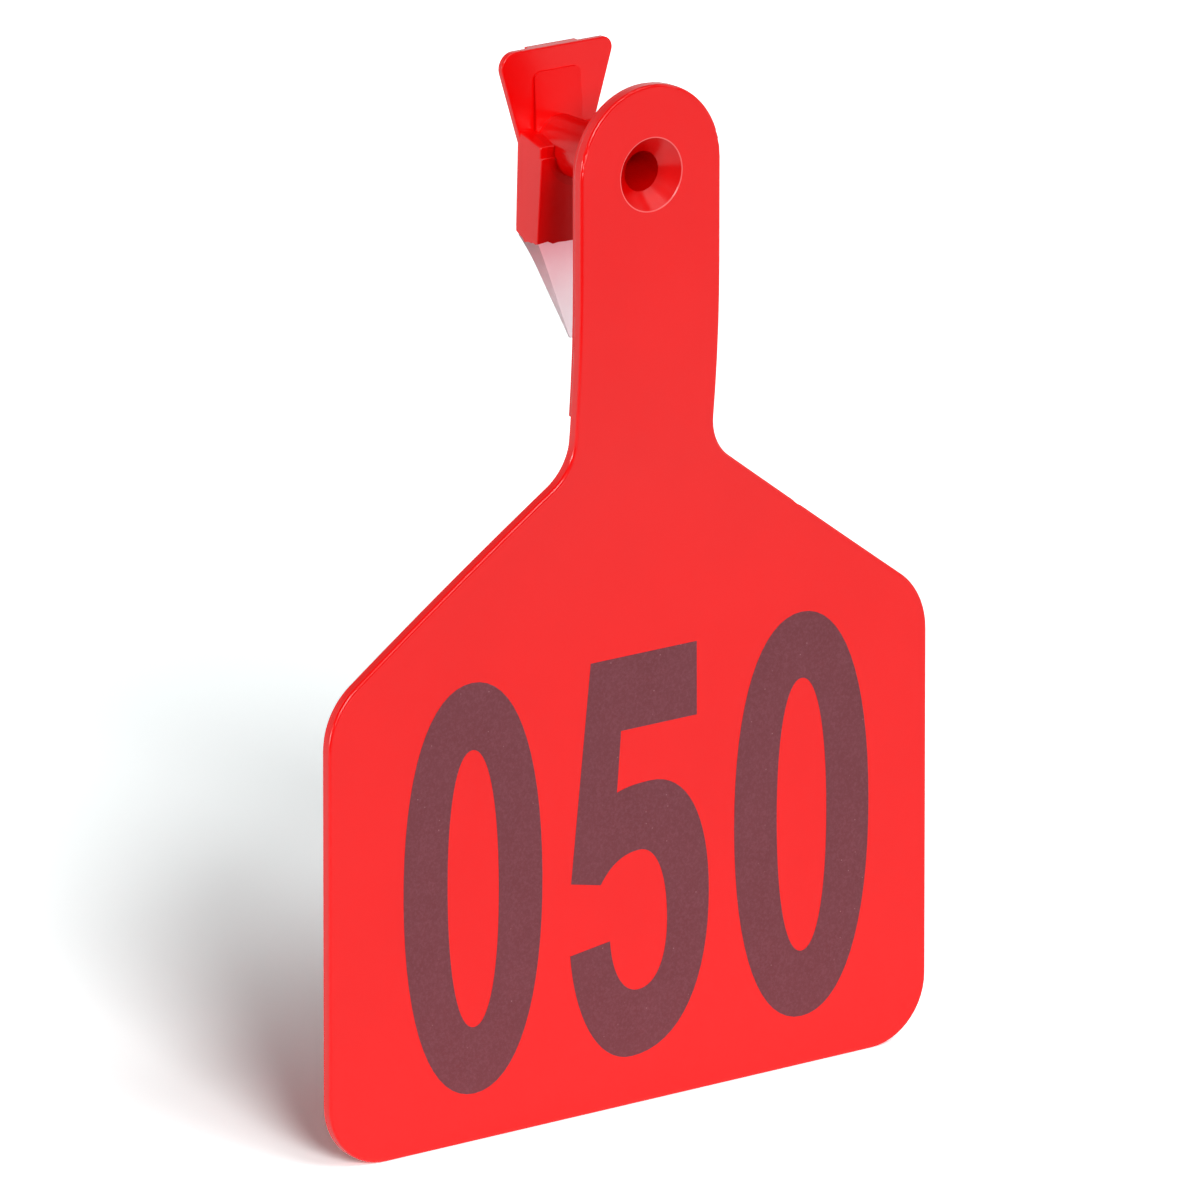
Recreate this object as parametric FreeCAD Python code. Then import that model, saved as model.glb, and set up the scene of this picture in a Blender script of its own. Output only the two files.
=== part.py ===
"""A one-piece livestock ear tag: a flexible moulding and the hard tip it carries.

Millimetres, +Z up. The origin is on the stem's axis, at the neck's back face, where the ear lies.
X runs across the tag and Y runs back from its printed face, along the stem to the head.

Nodes: tag_moulding (panel, neck, hollow stem, winged head) and piercing_tip.
"""
import FreeCAD, Part
import os
from math import atan, cos, pi, sin

V = FreeCAD.Vector
ACROSS = V(1, 0, 0)
BACK = V(0, 1, 0)

# The moulding's thicknesses, from its front face back.
SHEET = 1.4                 # the whole tag
PAD = 0.3                   # added behind the neck
BOSS = 0.2                  # added again round the stem's root
NECK_FRONT = -(SHEET + PAD + BOSS)

# The outline, seen from the front. Heights are measured from the stem's axis.
PANEL_WIDTH = 76.2          # at the lower edge
SHOULDER_WIDTH = 75.74      # the sides draw in a little on their way up
PANEL_BOTTOM = -100.1
SHOULDER_FOOT = -51.3
SHOULDER_HEAD = -30.0
NECK_WIDTH = 17.5
NECK_TOP = 9.35
BOTTOM_CORNER = 7.0
SHOULDER_CORNER = 8.0
NECK_FILLET = 6.0
EDGE_ROUND = 0.3
PAD_BOTTOM = -24.5
BOSS_BOTTOM = -0.54
PAD_INSET = 0.15            # each layer behind the neck is a little smaller than the last

# The scar where the moulding was cut from its runner, on the right shoulder's edge.
GATE_SHARE = 0.406          # of the way down the shoulder
GATE_LENGTH = 1.6
GATE_DEPTH = 0.12

# The panel hangs behind the neck: two equal tangent arcs step the sheet from one to the other.
PANEL_STEP = 3.15
BEND_BOTTOM = -52.45
BEND_TOP = -10.45
PANEL_FRONT = NECK_FRONT + PANEL_STEP
BEND_TURN = 2 * atan(PANEL_STEP / (BEND_TOP - BEND_BOTTOM))
BEND_RADIUS = (BEND_TOP - BEND_BOTTOM) / (2 * sin(BEND_TURN))

# The hollow stem and the applicator pin's bore.
BORE_R = 2.1
BORE_DEPTH = 15.0           # from the neck's front face, closed inside the head
SINK_R = 3.84               # the countersink's rim, at 45 degrees
SINK_ROUND = 0.2
STEM_R = 3.0
STEM_FILLET = 0.5

# The head: a block below the stem's axis and a wing above it.
BLOCK_FRONT = 10.6          # at its top: the face leans back a little on its way down
BLOCK_FOOT_FRONT = 11.05
HEAD_BACK = 15.1
BLOCK_TOP_WIDTH = 9.2
BLOCK_FOOT_WIDTH = 9.8
BLOCK_BOTTOM_FRONT = -9.25
BLOCK_BOTTOM_BACK = -8.1
BLOCK_TOP_FRONT = 0.8
BLOCK_TOP_BACK = 1.7
BLOCK_ROUND = 0.4           # its two back corners
FACE_ROUND = 0.18           # round its front faces and its sloping top
REBATE_DEPTH = 0.25         # along the top of the block's front face
REBATE_HEIGHT = 1.1
WING_THICKNESS = 0.65
WING_FRONT = HEAD_BACK - WING_THICKNESS
WING_FOOT = 0.3
WING_FOOT_WIDTH = 8.85
WING_TOP = 10.15
WING_TOP_WIDTH = 14.9
WING_LEFT_CORNER = 1.7
WING_RIGHT_CORNER = 1.2
WING_ROUND = 0.15           # round its front face
FRONT_RIB_WIDTH = 5.8
FRONT_RIB_TOP = 7.7
FRONT_RIB_THIN = 0.15
FRONT_RIB_THICK = 0.6
BACK_RIB_WIDTH = 6.2
BACK_RIB_FOOT = -3.0
BACK_RIB_THICKNESS = 0.65
RIB_CORNER = 0.8

# The hard tip under the block: four faces that run to one apex, flared where they leave the block.
TIP_SEAT = -9.25            # the taper starts here
TIP_HALF_WIDTH = 4.3
TIP_FRONT = 11.85
TIP_BACK = 14.64
TIP_APEX = V(0, 11.67, -21.1)
TIP_CUT = 0.92              # blunt this far along the way to the apex
TIP_ROUND = 0.1
FLARE = 0.22
FLARE_FOOT = -12.6
FLARE_STEPS = 4
TANG_HEIGHT = 5.0           # above the block's lower edge
TANG_THICKNESS = 2.4
TANG_FOOT_WIDTH = 4.6
TANG_TOP_WIDTH = 6.4        # wider than its foot, so that it can't pull out

# Torn flash left at the block's lower edge: how far it hangs, from corner to corner, in turn.
FLASH_THICKNESS = 0.16
FLASH_INSET = 0.06
FLASH_LEFT = (0.66, 0.74, 0.76, 0.82, 1.08, 0.86, 0.68, 0.6, 0.38, 0.38, 0.16)
FLASH_FRONT = (0.18, 0.12, 0.06, 0.38, 0.3, 0.34, 0.36, 0.36, 0.32, 0.4, 0.3, 0.26, 0.34, 0.2, 0.28, 0.16)
FLASH_RIGHT = (0.16, 0.3, 0.26, 0.5, 0.44, 0.72, 0.6, 0.78)
FLASH_BACK = (0.78, 0.7, 0.84, 0.66, 0.8, 0.72, 0.66)


def rounded_face(corners, place):
    """A flat face from corners (u, v, radius), each turned by an arc that meets its two sides.

    place turns (u, v) into a point in space.
    """
    points = [V(u, v, 0) for u, v, radius in corners]
    arcs = []
    for i, (u, v, radius) in enumerate(corners):
        corner = points[i]
        to_last = (points[i - 1] - corner).normalize()
        to_next = (points[(i + 1) % len(points)] - corner).normalize()
        half_corner = to_last.getAngle(to_next) / 2
        reach = radius * cos(half_corner) / sin(half_corner)
        inward = (to_last + to_next).normalize()
        middle = corner + inward * (radius / sin(half_corner) - radius)
        arcs.append((corner + to_last * reach, middle, corner + to_next * reach))
    edges = []
    for i, (start, middle, end) in enumerate(arcs):
        if (end - start).Length > 1e-6:
            edges.append(Part.Arc(*(place(p.x, p.y) for p in (start, middle, end))).toShape())
        following = arcs[(i + 1) % len(arcs)][0]
        if (following - end).Length > 1e-6:
            edges.append(Part.makeLine(place(end.x, end.y), place(following.x, following.y)))
    return Part.Face(Part.Wire(edges))


def front_prism(corners, front, back):
    """An outline (x, z, radius), seen from the front, made solid from front to back along Y."""
    face = rounded_face(corners, lambda x, z: V(x, front, z))
    return face.extrude(BACK * (back - front))


def side_prism(corners, width):
    """An outline (y, z, radius), seen from the side, made solid across X, centred on X = 0."""
    face = rounded_face(corners, lambda y, z: V(-width / 2, y, z))
    return face.extrude(ACROSS * width)


def sheet_line(depth):
    """The bent sheet's side line at a depth behind its front face: edges from the foot up."""
    panel_y = PANEL_FRONT + depth
    neck_y = NECK_FRONT + depth
    low_centre = V(0, PANEL_FRONT - BEND_RADIUS, BEND_BOTTOM)
    high_centre = V(0, NECK_FRONT + BEND_RADIUS, BEND_TOP)

    def on_low(turn):
        return low_centre + V(0, cos(turn), sin(turn)) * (BEND_RADIUS + depth)

    def on_high(turn):
        return high_centre - V(0, cos(turn), sin(turn)) * (BEND_RADIUS - depth)

    return [
        Part.makeLine(V(0, panel_y, PANEL_BOTTOM - 1), on_low(0)),
        Part.Arc(on_low(0), on_low(BEND_TURN / 2), on_low(BEND_TURN)).toShape(),
        Part.Arc(on_high(BEND_TURN), on_high(BEND_TURN / 2), on_high(0)).toShape(),
        Part.makeLine(on_high(0), V(0, neck_y, WING_TOP)),
    ]


def layer(outline, front_depth, back_depth):
    """The part of the bent sheet between two depths that lies inside a front outline."""
    front = sheet_line(front_depth)
    back = sheet_line(back_depth)
    foot = Part.makeLine(front[0].Vertexes[0].Point, back[0].Vertexes[0].Point)
    head = Part.makeLine(front[-1].Vertexes[-1].Point, back[-1].Vertexes[-1].Point)
    profile = Part.Face(Part.Wire(Part.__sortEdges__(front + [head] + back + [foot])))
    strip = profile.extrude(ACROSS * (PANEL_WIDTH + 2))
    strip.translate(ACROSS * (-PANEL_WIDTH / 2 - 1))
    return strip.common(front_prism(outline, NECK_FRONT - 1, PANEL_FRONT + SHEET + 1))


def neck_outline(bottom, inset):
    """The neck above a height, drawn in by inset all round, with its round top."""
    half = NECK_WIDTH / 2 - inset
    top = NECK_TOP - inset
    return [(-half, bottom, 0), (half, bottom, 0), (half, top, half), (-half, top, half)]


def tag_outline():
    """The whole tag from the front, anticlockwise from its lower left corner."""
    foot = PANEL_WIDTH / 2
    shoulder = SHOULDER_WIDTH / 2
    neck = NECK_WIDTH / 2
    right = [
        (foot, PANEL_BOTTOM, BOTTOM_CORNER),
        (shoulder, SHOULDER_FOOT, SHOULDER_CORNER),
        (neck, SHOULDER_HEAD, NECK_FILLET),
        (neck, NECK_TOP, neck),
    ]
    left = [(-x, z, radius) for x, z, radius in reversed(right)]
    return right + left


def is_wall(face):
    """Whether a face stands square to the sheet, as the outline's faces do."""
    low_u, high_u, low_v, high_v = face.ParameterRange
    return abs(face.normalAt((low_u + high_u) / 2, (low_v + high_v) / 2).y) < 0.01


def rounded_rims(sheet, radius):
    """The sheet with every edge between its outline and its two broad sides rounded."""
    rims = []
    for edge in sheet.Edges:
        walls = [face for face in sheet.ancestorsOfType(edge, Part.Face) if is_wall(face)]
        if len(walls) == 1:
            rims.append(edge)
    return sheet.makeFillet(radius, rims)


def flat_parts():
    """The panel and neck in one bent sheet, with the pads behind the neck."""
    sheet = rounded_rims(layer(tag_outline(), 0, SHEET), EDGE_ROUND)
    pad = layer(neck_outline(PAD_BOTTOM, PAD_INSET), SHEET / 2, SHEET + PAD)
    boss = layer(neck_outline(BOSS_BOTTOM, 2 * PAD_INSET), SHEET, -NECK_FRONT)
    return sheet.fuse([pad, boss])


def stem():
    """The stem, with a fillet where it leaves the neck and where it meets the wing."""
    wide = STEM_R + STEM_FILLET
    slope = STEM_FILLET * (1 - cos(atan(1)))
    inside = 0.3

    def at(y, radius):
        return V(radius, y, 0)

    root = Part.Arc(at(0, wide), at(slope, STEM_R + slope), at(STEM_FILLET, STEM_R))
    end = Part.Arc(
        at(WING_FRONT - STEM_FILLET, STEM_R),
        at(WING_FRONT - slope, STEM_R + slope),
        at(WING_FRONT, wide),
    )
    edges = [
        Part.makeLine(at(-inside, 0), at(-inside, wide)),
        Part.makeLine(at(-inside, wide), at(0, wide)),
        root.toShape(),
        Part.makeLine(at(STEM_FILLET, STEM_R), at(WING_FRONT - STEM_FILLET, STEM_R)),
        end.toShape(),
        Part.makeLine(at(WING_FRONT, wide), at(WING_FRONT + inside, wide)),
        Part.makeLine(at(WING_FRONT + inside, wide), at(WING_FRONT + inside, 0)),
        Part.makeLine(at(WING_FRONT + inside, 0), at(-inside, 0)),
    ]
    return Part.Face(Part.Wire(edges)).revolve(V(0, 0, 0), BACK, 360)


def pin_bore():
    """What the applicator's pin leaves empty: a blind bore and its countersink."""
    bore = Part.makeCylinder(BORE_R, BORE_DEPTH, BACK * NECK_FRONT, BACK)
    sink_depth = SINK_R - BORE_R
    sink = Part.makeCone(SINK_R, BORE_R, sink_depth, BACK * NECK_FRONT, BACK)
    return bore.fuse(sink)


def block():
    """The block below the stem: drafted sides, a sloping top and bottom, and a rebate in front."""
    rebate = BLOCK_FRONT + REBATE_DEPTH
    ledge = BLOCK_TOP_FRONT - REBATE_HEIGHT
    side_view = [
        (BLOCK_FOOT_FRONT, BLOCK_BOTTOM_FRONT, 0),
        (HEAD_BACK, BLOCK_BOTTOM_BACK, 0),
        (HEAD_BACK, BLOCK_TOP_BACK, 0),
        (WING_FRONT, BLOCK_TOP_BACK, 0),
        (rebate, BLOCK_TOP_FRONT, FACE_ROUND),
        (rebate, ledge, 0),
        (BLOCK_FRONT, ledge, FACE_ROUND),
    ]
    foot = BLOCK_FOOT_WIDTH / 2
    top = BLOCK_TOP_WIDTH / 2
    front_view = [
        (-foot, BLOCK_BOTTOM_FRONT, 0),
        (foot, BLOCK_BOTTOM_FRONT, 0),
        (top, BLOCK_TOP_BACK, 0),
        (-top, BLOCK_TOP_BACK, 0),
    ]
    solid = side_prism(side_view, BLOCK_FOOT_WIDTH + 1)
    solid = solid.common(front_prism(front_view, BLOCK_FRONT - 1, HEAD_BACK + 1))
    solid = solid.makeFillet(BLOCK_ROUND, side_edges(solid, HEAD_BACK, HEAD_BACK))
    return solid.makeFillet(FACE_ROUND, side_edges(solid, BLOCK_FRONT, WING_FRONT))


def side_edges(solid, front, back):
    """The long edges at a solid's two sides that lie wholly between two depths."""
    return [
        edge for edge in solid.Edges
        if abs(edge.CenterOfMass.x) > 1 and edge.Length > REBATE_DEPTH
        and all(front - 1e-6 < vertex.Y < back + 1e-6 for vertex in edge.Vertexes)
    ]


def block_half_width(z):
    """Half the block's width at a height: its sides draw in on their way up."""
    share = (z - BLOCK_BOTTOM_FRONT) / (BLOCK_TOP_BACK - BLOCK_BOTTOM_FRONT)
    return (BLOCK_FOOT_WIDTH + (BLOCK_TOP_WIDTH - BLOCK_FOOT_WIDTH) * share) / 2


def wing():
    """The trapezoid wing, with a wedge rib in front and a flat rib behind."""
    foot = WING_FOOT_WIDTH / 2
    top = WING_TOP_WIDTH / 2
    plate = front_prism(
        [
            (-foot, WING_FOOT, 0),
            (foot, WING_FOOT, 0),
            (top, WING_TOP, WING_RIGHT_CORNER),
            (-top, WING_TOP, WING_LEFT_CORNER),
        ],
        WING_FRONT,
        HEAD_BACK,
    )
    rims = [edge for edge in plate.Edges if edge.CenterOfMass.y < WING_FRONT + 1e-6]
    plate = plate.makeFillet(WING_ROUND, rims)
    front = FRONT_RIB_WIDTH / 2
    wedge = side_prism(
        [
            (WING_FRONT - FRONT_RIB_THICK, BLOCK_TOP_FRONT, 0),
            (HEAD_BACK, BLOCK_TOP_FRONT, 0),
            (HEAD_BACK, FRONT_RIB_TOP, 0),
            (WING_FRONT - FRONT_RIB_THIN, FRONT_RIB_TOP, 0),
        ],
        FRONT_RIB_WIDTH,
    ).common(
        front_prism(
            [
                (-front, 0, 0),
                (front, 0, 0),
                (front, FRONT_RIB_TOP, RIB_CORNER),
                (-front, FRONT_RIB_TOP, RIB_CORNER),
            ],
            BLOCK_FRONT,
            HEAD_BACK,
        )
    )
    back = BACK_RIB_WIDTH / 2
    rib = front_prism(
        [
            (-back, BACK_RIB_FOOT, RIB_CORNER),
            (back, BACK_RIB_FOOT, RIB_CORNER),
            (back, WING_TOP, 0),
            (-back, WING_TOP, 0),
        ],
        WING_FRONT + WING_ROUND,
        HEAD_BACK + BACK_RIB_THICKNESS,
    )
    return plate.fuse([wedge, rib])


def flash_wall(start, end, depths):
    """A thin torn edge that hangs from the line between two points, by each depth in turn."""
    step = (end - start) * (1 / (len(depths) - 1))
    lip = 0.3
    lower = [start + step * i - V(0, 0, depth) for i, depth in enumerate(depths)]
    upper = [end + V(0, 0, lip), start + V(0, 0, lip)]
    outline = lower + upper
    inward = V(0, 0, 1).cross(end - start).normalize() * FLASH_THICKNESS
    return Part.Face(Part.makePolygon(outline + outline[:1])).extrude(inward)


def flash():
    """The torn flash round the block's lower edge, a hair inside its faces."""
    foot = block_half_width(BLOCK_BOTTOM_FRONT) - FLASH_INSET
    heel = block_half_width(BLOCK_BOTTOM_BACK) - FLASH_INSET
    front = BLOCK_FOOT_FRONT + FLASH_INSET
    back = HEAD_BACK - FLASH_INSET
    turn = BLOCK_ROUND / 2      # the walls end inside the block's rounded corners
    front_left = V(-foot, front, BLOCK_BOTTOM_FRONT)
    front_right = V(foot, front, BLOCK_BOTTOM_FRONT)
    left_end = V(-heel, HEAD_BACK - turn, BLOCK_BOTTOM_BACK)
    right_end = V(heel, HEAD_BACK - turn, BLOCK_BOTTOM_BACK)
    back_left = V(turn - heel, back, BLOCK_BOTTOM_BACK)
    back_right = V(heel - turn, back, BLOCK_BOTTOM_BACK)
    return [
        flash_wall(left_end, front_left, FLASH_LEFT),
        flash_wall(front_left, front_right, FLASH_FRONT),
        flash_wall(front_right, right_end, FLASH_RIGHT),
        flash_wall(back_right, back_left, FLASH_BACK),
    ]


def gate_scar():
    """What the cut gate leaves missing from the right shoulder's edge: a shallow dish."""
    foot = V(SHOULDER_WIDTH / 2, 0, SHOULDER_FOOT)
    head = V(NECK_WIDTH / 2, 0, SHOULDER_HEAD)
    outward = (foot - head).cross(BACK).normalize()
    radius = (GATE_LENGTH ** 2 / 4 + GATE_DEPTH ** 2) / (2 * GATE_DEPTH)
    middle = head + (foot - head) * GATE_SHARE + outward * (radius - GATE_DEPTH)
    middle.y = NECK_FRONT - 1
    return Part.makeCylinder(radius, PANEL_STEP + SHEET + 2, middle, BACK)


def tang():
    """The tip's tang: a slab wider at its top, which the block is moulded round."""
    middle = (BLOCK_FRONT + HEAD_BACK) / 2
    foot = TANG_FOOT_WIDTH / 2
    top = TANG_TOP_WIDTH / 2
    return front_prism(
        [
            (-foot, TIP_SEAT, 0),
            (foot, TIP_SEAT, 0),
            (top, BLOCK_BOTTOM_FRONT + TANG_HEIGHT, 0),
            (-top, BLOCK_BOTTOM_FRONT + TANG_HEIGHT, 0),
        ],
        middle - TANG_THICKNESS / 2,
        middle + TANG_THICKNESS / 2,
    )


def rectangle(half_width, front, back, z):
    """A rectangular wire at one height."""
    return Part.makePolygon(
        [V(x, y, z) for x, y in (
            (-half_width, front),
            (half_width, front),
            (half_width, back),
            (-half_width, back),
            (-half_width, front),
        )]
    )


def tip_section(z):
    """The tip's outline at a height: a straight taper to the apex, with a hollow flare on top."""
    share = (z - TIP_APEX.z) / (TIP_SEAT - TIP_APEX.z)
    rise = max(0, (z - FLARE_FOOT) / (TIP_SEAT - FLARE_FOOT))
    flare = FLARE * rise ** 2
    front = TIP_APEX.y + (TIP_FRONT - TIP_APEX.y) * share - flare
    back = TIP_APEX.y + (TIP_BACK - TIP_APEX.y) * share + flare
    return rectangle(TIP_HALF_WIDTH * share + flare, front, back, z)


def piercing_tip(head_block):
    """The hard tip: a four-sided taper to a blunt point, a collar under the block and the tang."""
    step = (FLARE_FOOT - TIP_SEAT) / FLARE_STEPS
    heights = [TIP_SEAT + step * i for i in range(FLARE_STEPS + 1)]
    point = TIP_SEAT + (TIP_APEX.z - TIP_SEAT) * TIP_CUT
    taper = Part.makeLoft([tip_section(z) for z in heights + [point]], True, True)
    low = [edge for edge in taper.Edges if edge.CenterOfMass.z < point + 1e-6]
    taper = taper.makeFillet(TIP_ROUND, low)
    collar = Part.Face(tip_section(TIP_SEAT)).extrude(V(0, 0, BLOCK_BOTTOM_BACK - TIP_SEAT))
    return taper.fuse(collar).cut(head_block).fuse(tang()).removeSplitter()


def tag_moulding(head_block):
    """The flexible moulding: sheet, stem and head in one, less the pin's bore and the socket."""
    solid = flat_parts().fuse([stem(), head_block, wing()] + flash())
    solid = solid.removeSplitter().cut(pin_bore()).cut(tang()).cut(gate_scar())
    rim = [edge for edge in solid.Edges if abs(edge.Length - 2 * pi * SINK_R) < 1e-6]
    return solid.makeFillet(SINK_ROUND, rim)


def main():
    os.makedirs("parts", exist_ok=True)
    head_block = block()
    nodes = {
        "tag_moulding": tag_moulding(head_block),
        "piercing_tip": piercing_tip(head_block),
    }
    for name, shape in nodes.items():
        box = shape.BoundBox
        print(
            f"{name}: {len(shape.Solids)} solid, valid {shape.isValid()}, "
            f"{shape.Volume:.0f} mm3, x {box.XMin:.2f}..{box.XMax:.2f}, "
            f"y {box.YMin:.2f}..{box.YMax:.2f}, z {box.ZMin:.2f}..{box.ZMax:.2f}"
        )
        shape.exportStep(f"parts/{name}.step")


main()
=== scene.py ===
"""The looks of a one-piece livestock ear tag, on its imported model.

The tag's own solids keep their shape and get their finish here: soft moulded urethane for the tag
and clouded nylon for the piercing tip. The printed number is added as thin sheets of ink, and the
stage is a white floor and backdrop under four soft lamps. Places are in metres, in the model's own
frame. Patterns and figures are in millimetres.
"""
import math

import bmesh
import bpy
from bpy.props import FloatProperty, FloatVectorProperty, PointerProperty, StringProperty
from mathutils import Matrix, Vector


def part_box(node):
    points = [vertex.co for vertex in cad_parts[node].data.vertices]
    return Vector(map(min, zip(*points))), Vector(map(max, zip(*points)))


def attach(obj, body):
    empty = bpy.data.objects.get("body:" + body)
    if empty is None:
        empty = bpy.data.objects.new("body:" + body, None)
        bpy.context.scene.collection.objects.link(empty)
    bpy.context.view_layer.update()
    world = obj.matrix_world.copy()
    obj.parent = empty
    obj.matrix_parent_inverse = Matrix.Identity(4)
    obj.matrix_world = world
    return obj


bl_info = {
    "name": "Livestock Ear Tag",
    "version": (1, 0, 0),
    "blender": (4, 5, 0),
    "location": "3D View > Sidebar > Ear Tag",
    "description": "Finishes a moulded ear tag, prints its number and lights it",
    "category": "Object",
}

MM = 0.001
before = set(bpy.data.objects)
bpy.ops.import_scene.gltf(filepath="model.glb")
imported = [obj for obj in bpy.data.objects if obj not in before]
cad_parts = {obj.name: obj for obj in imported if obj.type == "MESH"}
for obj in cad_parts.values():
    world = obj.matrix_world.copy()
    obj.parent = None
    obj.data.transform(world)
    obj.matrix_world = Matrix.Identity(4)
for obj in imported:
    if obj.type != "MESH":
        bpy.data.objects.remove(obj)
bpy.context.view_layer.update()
TAG_LOW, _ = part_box("tag_moulding")
TIP_LOW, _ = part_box("piercing_tip")

# The pin's bore runs back along Y. Its countersink, the ring of painted highlight round that and
# how deep it reaches from the face, the turn from the countersink's lighter painted shade to the
# bore's deeper painted shade, and the bore's closed end, where that painted shade stops, in
# millimetres.
SINK_RADIUS = 3.8
RIM_RADIUS = 3.91
RIM_DEPTH = 0.25
TURN_RADIUS = 2.4
BORE_END = 13.5

# How strongly the moulding's patterns show, in its roughness and its relief, and in its colour the
# painted shade of the countersink and bore and the painted highlight round the countersink's rim.
ROUGH_MEAN = 0.05
ROUGH_GRAIN = 0.08
ROUGH_MOTTLE = 0.04
RELIEF_GRAIN = 0.12
RELIEF_WAVES = 0.88
# Painted shade: its share on the countersink, and how much more the bore takes.
SINK_SHADE = 0.3
BORE_SHADE = 0.7
# Painted highlight round the countersink's rim: its least share, and how much the mottle adds.
RIM_HIGHLIGHT = 0.15
RIM_MOTTLE = 0.6

# The tip's blush and painted shade grow with the height above the point, in millimetres, darker and
# redder towards the block, and its cloud shifts them.
TIP_RISE = 11.0
TIP_CLOUD = 0.25
TIP_CLOUD_MEAN = 0.12
BLUSH_AND_SHADE_HEIGHT = 0.62

# How strongly the ink's grain and its wider cloud lighten it.
INK_GRAIN = 0.6
INK_CLOUD = 0.25

# How far each surface's relief stands, in millimetres.
SKIN_RELIEF = 0.03
TIP_RELIEF = 0.02
INK_RELIEF = 0.02

# A speck's blurred edge as a share of its radius, and how far it covers what it lies on.
SPECK_BLUR = 0.8
SPECK_COVER = 0.5

# How far the handles of a figure's oval reach, as a share of its half width and half height.
OVAL_HOLD = 0.62

# The part of the panel that its printed face is measured on, up from its lower edge.
PANEL_FOOT = 30 * MM

# The floor's half width, and how far the camera sees.
FLOOR_HALF = 3.0
SIGHT = 20.0

# The white backdrop as gloss finds it, by a ray's direction: how far back it starts and how high
# it ends, both out of 1.
BACKDROP_START = 0.1
BACKDROP_TOP = 0.55

# Each lamp's width, its turn from straight in front towards the right, and its height, in degrees.
LAMPS = {
    "key": (19.5, -18, 23),
    "top": (28, 8, 46),
    "gleam": (24, 45, 57),
    "fill": (10, -100, 4),
}


# ---------------------------------------------------------------- shader maths


class Value:
    """A shader value that Python's operators work on: each one adds a Math node."""

    def __init__(self, nodes, socket):
        self.nodes = nodes
        self.socket = socket

    def maths(self, operation, *values):
        return self.nodes.node("ShaderNodeMath", {"operation": operation}, dict(enumerate(values)))

    def __add__(self, other):
        return self.maths("ADD", self, other)

    def __radd__(self, other):
        return self.maths("ADD", other, self)

    def __sub__(self, other):
        return self.maths("SUBTRACT", self, other)

    def __rsub__(self, other):
        return self.maths("SUBTRACT", other, self)

    def __mul__(self, other):
        return self.maths("MULTIPLY", self, other)

    def __rmul__(self, other):
        return self.maths("MULTIPLY", other, self)

    def __truediv__(self, other):
        return self.maths("DIVIDE", self, other)

    def __pow__(self, power):
        return self.maths("POWER", self, power)

    def above(self, edge, blur):
        """0 below edge, 1 above it, turning over a width of blur."""
        settings = {"interpolation_type": "SMOOTHSTEP"}
        inputs = {"Value": self, "From Min": edge - blur / 2, "From Max": edge + blur / 2}
        return self.nodes.node("ShaderNodeMapRange", settings, inputs)

    def below(self, edge, blur):
        """1 below edge, 0 above it, turning over a width of blur."""
        return 1 - self.above(edge, blur)


class Nodes:
    """A node tree, and nodes added to it by kind."""

    def __init__(self, tree):
        self.tree = tree

    def node(self, kind, settings=None, inputs=None, output=0):
        """Adds a node: its settings first, then its sockets' values or links. Returns an output."""
        added = self.tree.nodes.new(kind)
        for name, value in (settings or {}).items():
            setattr(added, name, value)
        for name, value in (inputs or {}).items():
            self.feed(added.inputs[name], value)
        return Value(self, added.outputs[output])

    def outputs(self, kind, names, inputs=None):
        """Adds a node and returns the outputs that are named."""
        added = self.node(kind, inputs=inputs).socket.node
        return [Value(self, added.outputs[name]) for name in names]

    def feed(self, socket, value):
        """Sets a socket, or links a Value to it."""
        if isinstance(value, Value):
            self.tree.links.new(value.socket, socket)
        else:
            socket.default_value = value

    def backdrop_rays(self, gloss):
        """1 for the rays that see the white backdrop as it is: the camera's and glass's.

        gloss is how much of that white the glossy rays find.
        """
        kinds = ("Is Camera Ray", "Is Glossy Ray", "Is Transmission Ray")
        camera, glossy, clear = self.outputs("ShaderNodeLightPath", kinds)
        return camera.maths("MAXIMUM", camera.maths("MAXIMUM", camera, clear), glossy * gloss)

    def blend(self, share, first, second):
        """A colour between two, by a share from 0 to 1."""
        inputs = {0: share, 6: first, 7: second}
        return self.node("ShaderNodeMix", {"data_type": "RGBA"}, inputs, output=2)


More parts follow.
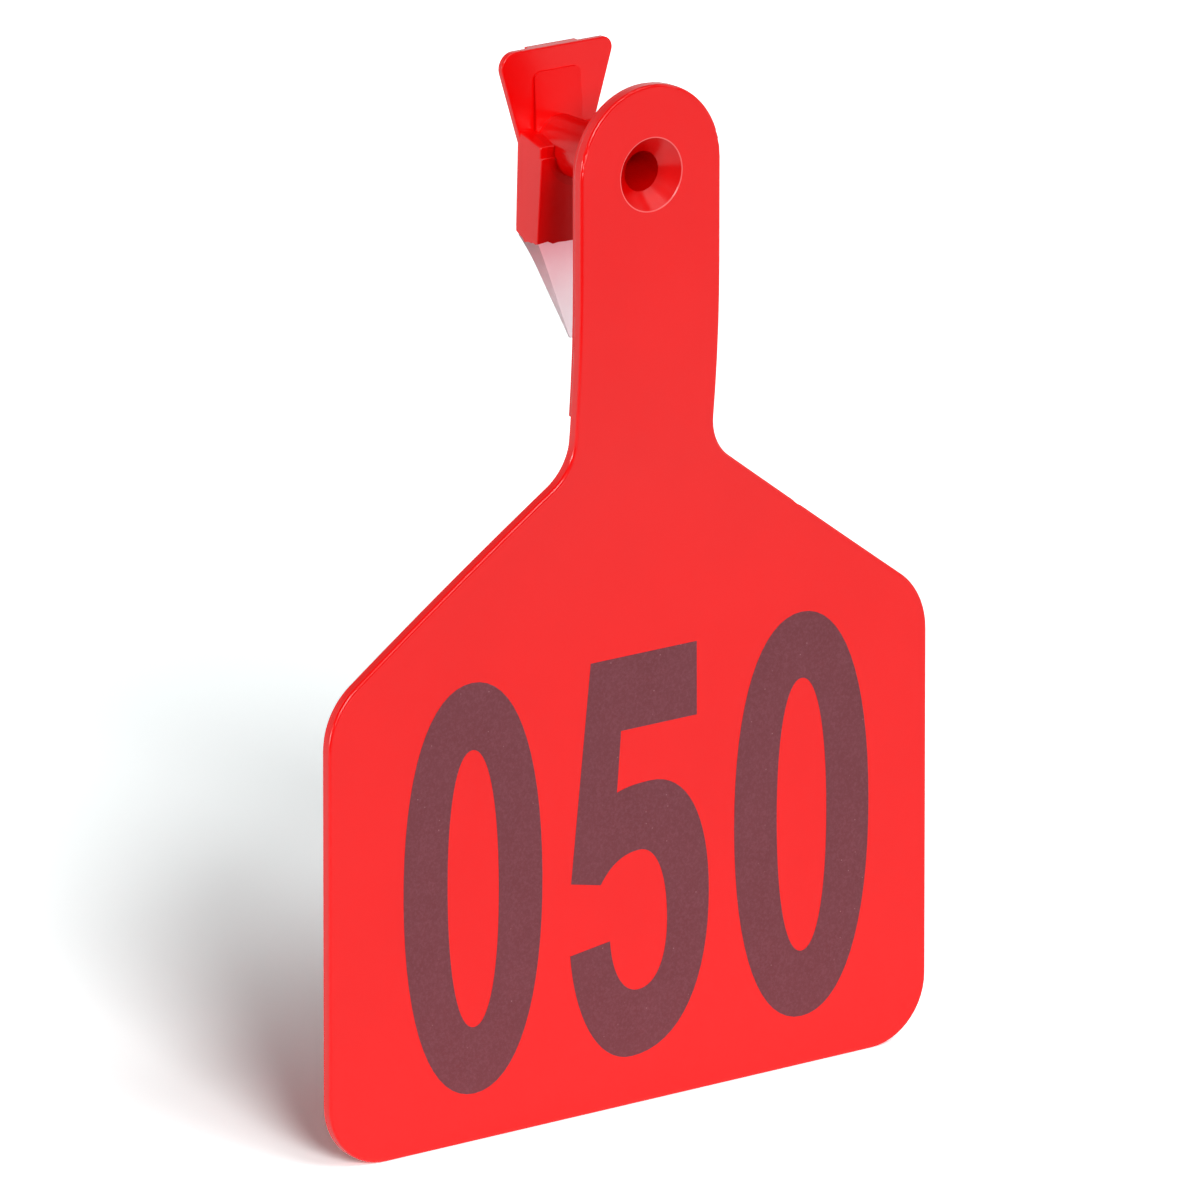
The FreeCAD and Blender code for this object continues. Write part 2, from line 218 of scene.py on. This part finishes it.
class Sheet(Nodes):
    """A material's node sheet: one Principled shader, and the patterns that feed it."""

    def __init__(self, name):
        self.material = bpy.data.materials.new(name)
        self.material.use_nodes = True
        super().__init__(self.material.node_tree)
        self.tree.nodes.clear()
        output = self.tree.nodes.new("ShaderNodeOutputMaterial")
        surface = self.node("ShaderNodeBsdfPrincipled")
        self.shader = surface.socket.node
        self.feed(output.inputs["Surface"], surface)

    def place(self):
        """The place of a point on the piece, in the model's frame."""
        return self.node("ShaderNodeTexCoord", output="Object")

    def axes(self):
        """The place's X, Y and Z, in millimetres."""
        split = self.outputs("ShaderNodeSeparateXYZ", "XYZ", {0: self.place()})
        return [axis / MM for axis in split]

    def noise(self, grain, detail, roughness=0.5):
        """Soft random mottle from 0 to 1, with blotches about grain millimetres across."""
        return self.node("ShaderNodeTexNoise", inputs={
            "Vector": self.place(),
            "Scale": 1 / (grain * MM),
            "Detail": detail,
            "Roughness": roughness,
        })

    def specks(self, spacing, radius, share):
        """Round specks of a radius, in millimetres, in a share of cells of a spacing."""
        inputs = {"Vector": self.place(), "Scale": 1 / (spacing * MM)}
        distance, shade = self.outputs("ShaderNodeTexVoronoi", ("Distance", "Color"), inputs)
        near = distance * spacing
        chance = self.node("ShaderNodeSeparateColor", inputs={0: shade})
        chosen = chance.above(1 - share, blur=0.001)
        return near.below(radius, blur=radius * SPECK_BLUR) * chosen * SPECK_COVER

    def bump(self, height, depth):
        """A normal from a height of 0 to 1 that stands for a depth in millimetres."""
        inputs = {"Height": height, "Distance": depth * MM, "Strength": 1.0}
        return self.node("ShaderNodeBump", inputs=inputs)

    def finish(self, **sockets):
        """Sets the shader's sockets, named with underscores for spaces. Returns the material."""
        for name, value in sockets.items():
            self.feed(self.shader.inputs[name.replace("_", " ")], value)
        return self.material


def paint(colour):
    """A colour property as the RGBA that a shader socket takes."""
    return (*colour, 1.0)


def dress(node, material):
    """Puts a material on every slot of one of the model's own nodes."""
    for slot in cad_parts[node].material_slots:
        slot.material = material


# ---------------------------------------------------------------- sizes and colours


class TagFinish(bpy.types.PropertyGroup):
    """The soft red moulding."""

    colour: FloatVectorProperty(
        name="Colour", description="The urethane's own colour",
        subtype="COLOR", size=3, min=0, max=1, default=(0.86, 0.0006, 0.0008),
    )
    deep: FloatVectorProperty(
        name="Deep colour", description="Where the moulding's colour pools",
        subtype="COLOR", size=3, min=0, max=1, default=(0.83, 0.0004, 0.0006),
    )
    speck: FloatVectorProperty(
        name="Speck colour", description="Dust and pinholes on the skin",
        subtype="COLOR", size=3, min=0, max=1, default=(0.95, 0.12, 0.12),
    )
    # Painted shade: the dark colour laid over the countersink and the bore.
    inside: FloatVectorProperty(
        name="Bore colour", description="The moulding inside the pin's bore",
        subtype="COLOR", size=3, min=0, max=1, default=(0.6, 0.0003, 0.0003),
    )
    # Painted highlight: the pale colour of the ring round the countersink's rim.
    rim: FloatVectorProperty(
        name="Rim colour", description="The worn rim of the countersink",
        subtype="COLOR", size=3, min=0, max=1, default=(1.0, 0.3, 0.3),
    )
    roughness: FloatProperty(
        name="Roughness", description="The satin of the moulded skin", default=0.22, min=0, max=1,
    )
    grain: FloatProperty(
        name="Grain", description="Width of the mould's fine grain",
        unit="LENGTH", default=0.35 * MM,
    )


class TipFinish(bpy.types.PropertyGroup):
    """The clouded nylon tip."""

    pale: FloatVectorProperty(
        name="Pale colour", description="The nylon near the point",
        subtype="COLOR", size=3, min=0, max=1, default=(0.97, 0.82, 0.86),
    )
    # Painted shade under the block, with the block's red showing through the nylon: darker and
    # redder than the nylon.
    blush_and_shade: FloatVectorProperty(
        name="Blush", description="The red that shows through under the block",
        subtype="COLOR", size=3, min=0, max=1, default=(0.95, 0.4, 0.46),
    )


class PrintFinish(bpy.types.PropertyGroup):
    """The number and its ink."""

    number: StringProperty(name="Number", description="Made of the figures 0 and 5", default="050")
    left: FloatProperty(
        name="First figure", description="Centre of the first figure",
        unit="LENGTH", default=-20.05 * MM,
    )
    pitch: FloatProperty(
        name="Pitch", description="From one figure's centre to the next",
        unit="LENGTH", default=20.92 * MM,
    )
    foot: FloatProperty(
        name="Foot", description="Height of the figures' feet above the panel's lower edge",
        unit="LENGTH", default=5.3 * MM,
    )
    tilt: FloatProperty(
        name="Tilt", description="How far the print is turned on the panel",
        unit="ROTATION", default=math.radians(0.25),
    )
    thickness: FloatProperty(
        name="Ink", description="How far the ink stands off the panel",
        unit="LENGTH", default=0.02 * MM,
    )
    ink: FloatVectorProperty(
        name="Ink colour", description="The dark print",
        subtype="COLOR", size=3, min=0, max=1, default=(0.13, 0.018, 0.026),
    )
    grain_colour: FloatVectorProperty(
        name="Ink grain", description="The ink's lighter grain",
        subtype="COLOR", size=3, min=0, max=1, default=(0.2, 0.05, 0.07),
    )
    fleck: FloatVectorProperty(
        name="Fleck colour", description="Small pale flecks in the ink",
        subtype="COLOR", size=3, min=0, max=1, default=(0.42, 0.2, 0.22),
    )


class StageSettings(bpy.types.PropertyGroup):
    """The camera, the floor and the light."""

    azimuth: FloatProperty(
        name="Azimuth", description="The camera's turn from straight ahead",
        unit="ROTATION", default=math.radians(-36.05),
    )
    elevation: FloatProperty(
        name="Elevation", description="The camera's height above level",
        unit="ROTATION", default=math.radians(16.65),
    )
    distance: FloatProperty(
        name="Distance", description="From the camera to where it aims",
        unit="LENGTH", default=1.4005,
    )
    lens: FloatProperty(name="Lens", description="Focal length in millimetres", default=411.6)
    aim: FloatVectorProperty(
        name="Aim", description="Where the camera aims, from the middle of the panel's foot",
        unit="LENGTH", subtype="TRANSLATION", size=3, default=(-4.147 * MM, 0, 55.17 * MM),
    )
    floor: FloatVectorProperty(
        name="Floor", description="The floor as it lights the tag",
        subtype="COLOR", size=3, min=0, max=1, default=(0.85, 0.85, 0.85),
    )
    floor_seen: FloatVectorProperty(
        name="Seen floor", description="The floor as the camera sees it: white, and its shadow",
        subtype="COLOR", size=3, min=0, max=4, default=(1.95, 2.04, 2.04),
    )
    floor_gloss: FloatProperty(
        name="Floor in gloss", description="How much of the seen floor gloss shows",
        default=0.7, min=0, max=1,
    )
    front_edge: FloatProperty(
        name="Front edge", description="From the tag to the floor's edge at the camera's side",
        unit="LENGTH", default=0.2,
    )
    daylight: FloatProperty(name="Daylight", description="Light from all round", default=0.09)
    room: FloatProperty(
        name="Room", description="What gloss shows of the room in front and overhead",
        default=0.12,
    )
    key: FloatProperty(
        name="Key light", description="Strength of the low lamp in front", default=0.68,
    )
    top: FloatProperty(
        name="Top light", description="Strength of the high soft lamp", default=0.28,
    )
    gleam: FloatProperty(
        name="Gleam", description="Strength of the high lamp at the right, seen in the gloss",
        default=0.07,
    )
    fill: FloatProperty(
        name="Fill light", description="Strength of the lamp at the left", default=0.44,
    )


# ---------------------------------------------------------------- the tag


class EARTAG_OT_moulding(bpy.types.Operator):
    """Gives the moulded tag its satin urethane skin"""

    bl_idname = "eartag.moulding"
    bl_label = "Finish Moulding"

    def execute(self, context):
        finish = context.scene.ear_tag_moulding
        sheet = Sheet("tag_urethane")
        mottle = sheet.noise(grain=14, detail=3)
        specks = sheet.specks(spacing=5, radius=0.09, share=0.12)
        colour = sheet.blend(mottle.above(0.5, blur=0.5), paint(finish.colour), paint(finish.deep))
        colour = sheet.blend(specks, colour, paint(finish.speck))
        grain = sheet.noise(grain=finish.grain / MM, detail=3, roughness=0.6)
        waves = sheet.noise(grain=9, detail=1)
        roughness = finish.roughness - ROUGH_MEAN + grain * ROUGH_GRAIN + mottle * ROUGH_MOTTLE
        height = grain * RELIEF_GRAIN + waves * RELIEF_WAVES
        # Painted shade darkens the countersink and the bore, and a painted highlight lightens a
        # ring at the countersink's rim.
        shade, rim_highlight = self.bore(sheet, mottle)
        colour = sheet.blend(shade, colour, paint(finish.inside))
        colour = sheet.blend(rim_highlight, colour, paint(finish.rim))
        dress("tag_moulding", sheet.finish(
            Base_Color=colour,
            Roughness=roughness,
            IOR=1.45,
            Normal=sheet.bump(height, SKIN_RELIEF),
        ))
        return {"FINISHED"}

    def bore(self, sheet, mottle):
        """Shares of the painted shade, deepening from the countersink into the bore, and of the
        painted highlight ring at the countersink's rim.
        """
        x, y, z = sheet.axes()
        radius = (x * x + z * z) ** 0.5
        # The painted highlight's ring: just outside the countersink's edge, on the front face only.
        front = y.below(TAG_LOW.y / MM + RIM_DEPTH, blur=0.1)
        ring = radius.above(SINK_RADIUS, blur=0.06) * radius.below(RIM_RADIUS, blur=0.06)
        # Painted shade: inside the countersink's edge and as far back as the bore's end, light on
        # the countersink and deeper in the bore.
        inside = radius.below(SINK_RADIUS, blur=0.1) * y.below(BORE_END, blur=0.2)
        shade = inside * (SINK_SHADE + radius.below(TURN_RADIUS, blur=1.4) * BORE_SHADE)
        rim_highlight = ring * front * (RIM_HIGHLIGHT + mottle * RIM_MOTTLE)
        return shade, rim_highlight


class EARTAG_OT_tip(bpy.types.Operator):
    """Gives the piercing tip its clouded nylon"""

    bl_idname = "eartag.tip"
    bl_label = "Finish Tip"

    def execute(self, context):
        finish = context.scene.ear_tag_tip
        sheet = Sheet("tip_nylon")
        z = sheet.axes()[2]
        height = (z - TIP_LOW.z / MM) / TIP_RISE
        cloud = sheet.noise(grain=2.5, detail=3)
        # Painted shade with the red showing through: the tip turns darker and redder towards the
        # block.
        share = (height + cloud * TIP_CLOUD - TIP_CLOUD_MEAN).above(BLUSH_AND_SHADE_HEIGHT, blur=0.9)
        colour = sheet.blend(share, paint(finish.pale), paint(finish.blush_and_shade))
        dress("piercing_tip", sheet.finish(
            Base_Color=colour,
            Roughness=0.3 + cloud * 0.1,
            IOR=1.53,
            Transmission_Weight=0.8,
            Normal=sheet.bump(cloud, TIP_RELIEF),
        ))
        return {"FINISHED"}


# ---------------------------------------------------------------- the number


def oval(centre, half_width, half_height):
    """A tall oval's four points, each (place, handle before, handle after)."""
    x, y = centre
    reach = OVAL_HOLD * half_height
    cross = OVAL_HOLD * half_width
    return [
        ((x, y + half_height), (x - cross, y + half_height), (x + cross, y + half_height)),
        ((x + half_width, y), (x + half_width, y + reach), (x + half_width, y - reach)),
        ((x, y - half_height), (x + cross, y - half_height), (x - cross, y - half_height)),
        ((x - half_width, y), (x - half_width, y - reach), (x - half_width, y + reach)),
    ]


def figure_nought():
    """A condensed nought, in millimetres from its foot's middle: its outside and its inside."""
    middle = (0, 22.0)
    return [oval(middle, 8.7, 22.0), oval(middle, 3.22, 14.85)]


def figure_five():
    """A condensed five, in millimetres from its foot's middle: each point with its two handles."""
    corner = None
    return [[
        ((-6.0, 43.3), corner, corner),
        ((7.45, 43.3), corner, corner),
        ((7.45, 35.4), corner, corner),
        ((-2.2, 35.4), corner, corner),
        ((-2.75, 28.85), corner, (-1.5, 29.3)),
        ((1.6, 29.4), (0.0, 29.4), (6.2, 29.4)),
        ((8.95, 16.3), (8.95, 24.4), (8.95, 6.6)),
        ((-1.0, 0.0), (5.4, 0.0), (-5.6, 0.0)),
        ((-8.75, 12.35), (-8.3, 6.2), corner),
        ((-3.7, 13.0), corner, (-3.4, 8.9)),
        ((-0.15, 7.1), (-1.8, 7.1), (2.4, 7.1)),
        ((3.6, 14.2), (3.6, 10.2), (3.6, 19.3)),
        ((0.1, 22.2), (2.2, 22.2), (-2.0, 22.2)),
        ((-4.85, 19.3), (-3.6, 21.2), corner),
        ((-8.6, 20.1), corner, corner),
    ]]


FIGURES = {"0": figure_nought, "5": figure_five}


def ink_sheet(name, outlines, thickness):
    """A flat sheet of ink cut to closed outlines, face up in X and Y, as a mesh object."""
    curve = bpy.data.curves.new(name, "CURVE")
    curve.dimensions = "2D"
    curve.fill_mode = "BOTH"
    curve.resolution_u = 16
    curve.extrude = thickness
    for outline in outlines:
        spline = curve.splines.new("BEZIER")
        spline.bezier_points.add(len(outline) - 1)
        spline.use_cyclic_u = True
        for point, (place, before, after) in zip(spline.bezier_points, outline):
            point.co = (place[0] * MM, place[1] * MM, 0)
            for side, handle in (("left", before), ("right", after)):
                kind = "VECTOR" if handle is None else "FREE"
                setattr(point, f"handle_{side}_type", kind)
                if handle is not None:
                    setattr(point, f"handle_{side}", (handle[0] * MM, handle[1] * MM, 0))
    flat = bpy.data.objects.new(name, curve)
    bpy.context.scene.collection.objects.link(flat)
    bpy.context.view_layer.update()
    mesh = bpy.data.meshes.new_from_object(flat)
    bpy.data.objects.remove(flat)
    mesh.name = name
    piece = bpy.data.objects.new(name, mesh)
    bpy.context.scene.collection.objects.link(piece)
    return piece


class EARTAG_OT_number(bpy.types.Operator):
    """Prints the number on the panel's face"""

    bl_idname = "eartag.number"
    bl_label = "Print Number"

    def execute(self, context):
        finish = context.scene.ear_tag_print
        material = self.ink(finish)
        middle = Vector((0, panel_face(), TAG_LOW.z + finish.foot))
        for i, figure in enumerate(finish.number):
            if figure not in FIGURES:
                raise ValueError(f"there is no outline for the figure {figure}")
            piece = ink_sheet(f"figure_{i + 1}", FIGURES[figure](), finish.thickness)
            upright = Matrix.Rotation(math.radians(90), 4, "X")
            turned = Matrix.Rotation(-finish.tilt, 4, "Y")
            along = Matrix.Translation((finish.left + i * finish.pitch, 0, 0))
            piece.data.transform(Matrix.Translation(middle) @ turned @ along @ upright)
            piece.data.materials.clear()
            piece.data.materials.append(material)
            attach(piece, "root")
        return {"FINISHED"}

    def ink(self, finish):
        """The ink, with its lighter grain and flecks."""
        sheet = Sheet("print_ink")
        grain = sheet.noise(grain=0.28, detail=4, roughness=0.75)
        cloud = sheet.noise(grain=5, detail=2)
        flecks = sheet.specks(spacing=0.9, radius=0.07, share=0.25)
        share = grain.above(0.56, blur=0.3) * INK_GRAIN + cloud * INK_CLOUD
        colour = sheet.blend(share, paint(finish.ink), paint(finish.grain_colour))
        colour = sheet.blend(flecks, colour, paint(finish.fleck))
        return sheet.finish(
            Base_Color=colour,
            Roughness=0.5 + grain * 0.15,
            IOR=1.48,
            Normal=sheet.bump(grain, INK_RELIEF),
        )


def panel_face():
    """How far back the panel's printed face lies: the nearest of its skin, low on the panel."""
    top = TAG_LOW.z + PANEL_FOOT
    return min(v.co.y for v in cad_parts["tag_moulding"].data.vertices if v.co.z < top)


# ---------------------------------------------------------------- the stage


class EARTAG_OT_stage(bpy.types.Operator):
    """Sets up the camera, the white floor and the light"""

    bl_idname = "eartag.stage"
    bl_label = "Set Stage"

    def execute(self, context):
        stage = context.scene.ear_tag_stage
        context.scene.view_settings.view_transform = "Standard"
        self.camera(context, stage)
        self.floor(context, stage)
        self.world(context, stage)
        for name, angles in LAMPS.items():
            self.lamp(context, name, getattr(stage, name), *angles)
        return {"FINISHED"}

    def camera(self, context, stage):
        """The camera, turned and raised about the point that it aims at."""
        aim = Vector((0, panel_face(), TAG_LOW.z)) + Vector(stage.aim)
        level = math.cos(stage.elevation)
        back = Vector((
            math.sin(stage.azimuth) * level,
            -math.cos(stage.azimuth) * level,
            math.sin(stage.elevation),
        ))
        data = bpy.data.cameras.new("camera")
        data.lens = stage.lens
        data.clip_end = SIGHT
        camera = bpy.data.objects.new("camera", data)
        camera.location = aim + back * stage.distance
        camera.rotation_euler = (math.pi / 2 - stage.elevation, 0, stage.azimuth)
        context.scene.collection.objects.link(camera)
        context.scene.camera = camera

    def floor(self, context, stage):
        """A square floor at the panel's foot, turned to the camera, that ends in front of it."""
        form = bmesh.new()
        bmesh.ops.create_grid(form, x_segments=1, y_segments=1, size=FLOOR_HALF)
        moved = (0, FLOOR_HALF - stage.front_edge, TAG_LOW.z)
        bmesh.ops.translate(form, verts=form.verts, vec=moved)
        turned = Matrix.Rotation(stage.azimuth, 3, "Z")
        bmesh.ops.rotate(form, verts=form.verts, matrix=turned)
        mesh = bpy.data.meshes.new("floor")
        form.to_mesh(mesh)
        form.free()
        floor = bpy.data.objects.new("floor", mesh)
        context.scene.collection.objects.link(floor)
        sheet = Sheet("floor_white")
        seen = sheet.backdrop_rays(stage.floor_gloss)
        floor.data.materials.append(sheet.finish(
            Base_Color=sheet.blend(seen, paint(stage.floor), paint(stage.floor_seen)),
            Roughness=1.0,
            Specular_IOR_Level=0.0,
        ))

    def world(self, context, stage):
        """Daylight from all round, behind a backdrop that the camera and glass see white."""
        world = bpy.data.worlds.new("daylight")
        world.use_nodes = True
        context.scene.world = world
        nodes = Nodes(world.node_tree)
        background = world.node_tree.nodes["Background"]
        nodes.feed(background.inputs["Color"], (1, 1, 1, 1))
        way = nodes.node("ShaderNodeTexCoord", output="Generated")
        x, y, z = nodes.outputs("ShaderNodeSeparateXYZ", "XYZ", {0: way})
        behind = y * math.cos(stage.azimuth) - x * math.sin(stage.azimuth)
        backdrop = behind.above(BACKDROP_START, blur=0.5) * z.below(BACKDROP_TOP, blur=0.4)
        white = nodes.backdrop_rays(stage.room + backdrop * (1 - stage.room))
        nodes.feed(background.inputs["Strength"], white + (1 - white) * stage.daylight)

    def lamp(self, context, name, strength, width, azimuth, elevation):
        """A far lamp by its strength, where 1 shows a facing colour as written, and its angles."""
        data = bpy.data.lights.new(name, "SUN")
        data.angle = math.radians(width)
        data.energy = strength * math.pi
        lamp = bpy.data.objects.new(name, data)
        lamp.rotation_euler = (math.radians(90 - elevation), 0, math.radians(azimuth))
        context.scene.collection.objects.link(lamp)


# ---------------------------------------------------------------- the add-on


class EARTAG_PT_panel(bpy.types.Panel):
    """Lists the ear tag's sizes, colours and steps"""

    bl_label = "Ear Tag"
    bl_idname = "EARTAG_PT_panel"
    bl_space_type = "VIEW_3D"
    bl_region_type = "UI"
    bl_category = "Ear Tag"

    def draw(self, context):
        for group, step in STEPS:
            column = self.layout.column()
            settings = getattr(context.scene, group)
            for name in settings.__annotations__:
                column.prop(settings, name)
            column.operator(step.bl_idname)


STEPS = (
    ("ear_tag_moulding", EARTAG_OT_moulding),
    ("ear_tag_tip", EARTAG_OT_tip),
    ("ear_tag_print", EARTAG_OT_number),
    ("ear_tag_stage", EARTAG_OT_stage),
)
GROUPS = {
    "ear_tag_moulding": TagFinish,
    "ear_tag_tip": TipFinish,
    "ear_tag_print": PrintFinish,
    "ear_tag_stage": StageSettings,
}
CLASSES = (*GROUPS.values(), *(step for group, step in STEPS), EARTAG_PT_panel)


def register():
    for entry in CLASSES:
        bpy.utils.register_class(entry)
    for name, group in GROUPS.items():
        setattr(bpy.types.Scene, name, PointerProperty(type=group))


def unregister():
    for name in GROUPS:
        delattr(bpy.types.Scene, name)
    for entry in reversed(CLASSES):
        bpy.utils.unregister_class(entry)


def main():
    register()
    bpy.ops.eartag.moulding()
    bpy.ops.eartag.tip()
    bpy.ops.eartag.number()
    bpy.ops.eartag.stage()


if __name__ == "__main__":
    main()
